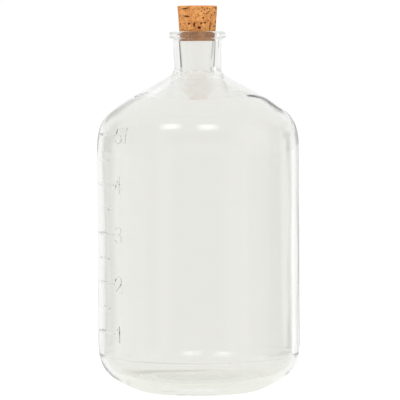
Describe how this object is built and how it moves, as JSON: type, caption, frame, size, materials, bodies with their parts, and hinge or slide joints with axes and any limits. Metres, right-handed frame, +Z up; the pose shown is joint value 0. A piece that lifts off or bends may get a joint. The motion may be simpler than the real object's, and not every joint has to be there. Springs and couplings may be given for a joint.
{
  "type": "glass carboy",
  "caption": "Cylindrical clear glass fermenting carboy with a sloping shoulder, short lipped neck, moulded litre scale and a tapered natural cork that lifts out.",
  "frame": {"origin": "middle of the foot, on the surface that the carboy stands on", "axes": "+Z up along the axis of the jar; -Y is the front, and the litre scale is on the left of it, centred 67 degrees round towards -X"},
  "size_m": [0.1824, 0.1824, 0.345],
  "materials": {
    "clear_glass": "clear, faintly green soda-lime glass, fire polished",
    "natural_cork": "ground natural cork with dark pores"
  },
  "bodies": {
    "jar": {"glass_jar": "clear_glass"},
    "cork": {"cork_stopper": "natural_cork"}
  },
  "joints": [
    {"name": "cork_lift", "type": "slide", "parent": "jar", "child": "cork", "axis": [0, 0, 1], "range_m": [0, 0.04]}
  ]
}
